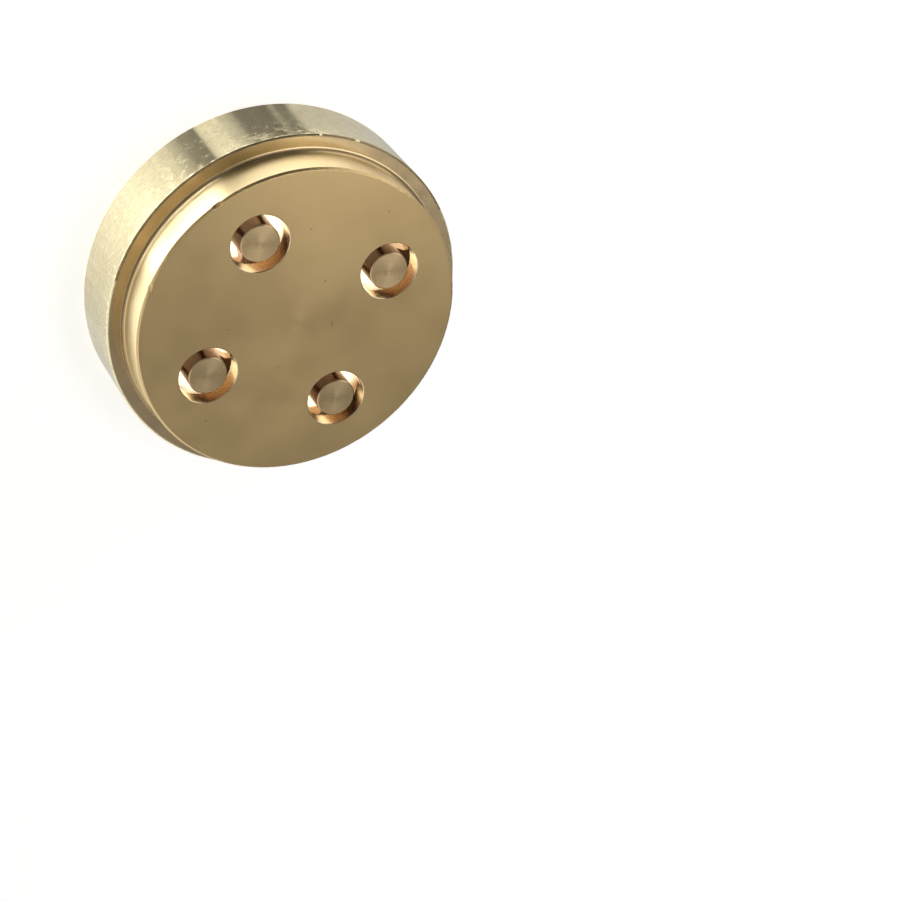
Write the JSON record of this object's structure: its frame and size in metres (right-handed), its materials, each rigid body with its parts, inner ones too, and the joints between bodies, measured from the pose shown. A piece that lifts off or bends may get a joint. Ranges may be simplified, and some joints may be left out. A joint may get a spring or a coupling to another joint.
{
  "type": "pasta extrusion die",
  "caption": "Round turned brass extrusion die with a stepped front boss and ring-shaped outlets, each formed by a core pin held from behind.",
  "frame": {"origin": "centre of the back face, on the die's axis", "axes": "+Z along the die's axis out of the front face, the way the dough leaves; outlets stand on +X, +Y, -X and -Y"},
  "size_m": [0.051, 0.051, 0.016],
  "materials": {
    "die_brass": "satin turned face, polished rim",
    "core_brass": "fine turned"
  },
  "bodies": {
    "root": {"die_body": "die_brass", "core_pin_1": "core_brass", "core_pin_2": "core_brass", "core_pin_3": "core_brass", "core_pin_4": "core_brass"}
  },
  "joints": []
}
